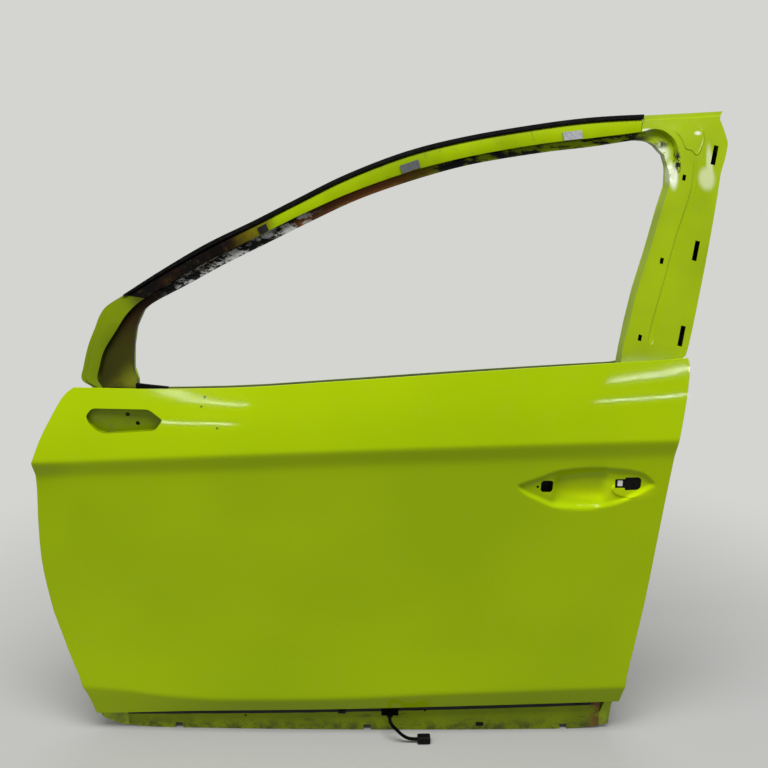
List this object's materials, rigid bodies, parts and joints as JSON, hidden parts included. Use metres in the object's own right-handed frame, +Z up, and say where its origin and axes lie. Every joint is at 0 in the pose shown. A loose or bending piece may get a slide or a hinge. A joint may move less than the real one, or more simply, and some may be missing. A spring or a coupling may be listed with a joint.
{
  "type": "car door shell",
  "caption": "Bare front left car door shell: pressed steel outer and inner panels with a window frame, hinge and latch faces and a few small fittings.",
  "frame": {"origin": "centre of the upper hinge's face on the inner panel's front wall", "axes": "+X towards the rear of the car, +Y towards the cabin, +Z up; the outer panel faces -Y"},
  "size_m": [1.2058, 0.2306, 1.1302],
  "materials": {
    "green_paint": "gloss",
    "coated_steel": "satin",
    "black_plastic": "matt",
    "white_plastic": "satin",
    "black_rubber": "matt",
    "grey_foam": "matt"
  },
  "bodies": {
    "root": {"outer_skin": "green_paint", "inner_panel": "green_paint", "lower_closing_panel": "green_paint", "a_post_outer": "green_paint", "a_post_inner": "green_paint", "header_outer": "green_paint", "header_inner": "green_paint", "b_post_outer": "green_paint", "b_post_inner": "green_paint", "mirror_bracket": "green_paint", "belt_rail_outer": "coated_steel", "belt_rail_inner": "coated_steel", "impact_beam": "coated_steel", "beam_bracket_front": "coated_steel", "beam_bracket_rear": "coated_steel", "upper_hinge_plate": "coated_steel", "lower_hinge_plate": "coated_steel", "check_strap_plate": "coated_steel", "latch_plate": "coated_steel", "front_glass_channel": "coated_steel", "rear_glass_channel": "coated_steel", "handle_carrier": "black_plastic", "carrier_tab": "white_plastic", "damping_pad": "grey_foam", "header_seal": "black_rubber", "sill_seal_end": "black_rubber", "rail_pad_front": "grey_foam", "rail_pad_rear": "grey_foam", "header_clip": "black_plastic", "lower_clip_front": "black_plastic", "lower_clip_middle": "black_plastic", "lower_clip_rear": "black_plastic", "pigtail_grommet": "black_rubber", "pigtail_cable": "black_rubber", "pigtail_plug": "black_plastic"}
  },
  "joints": []
}
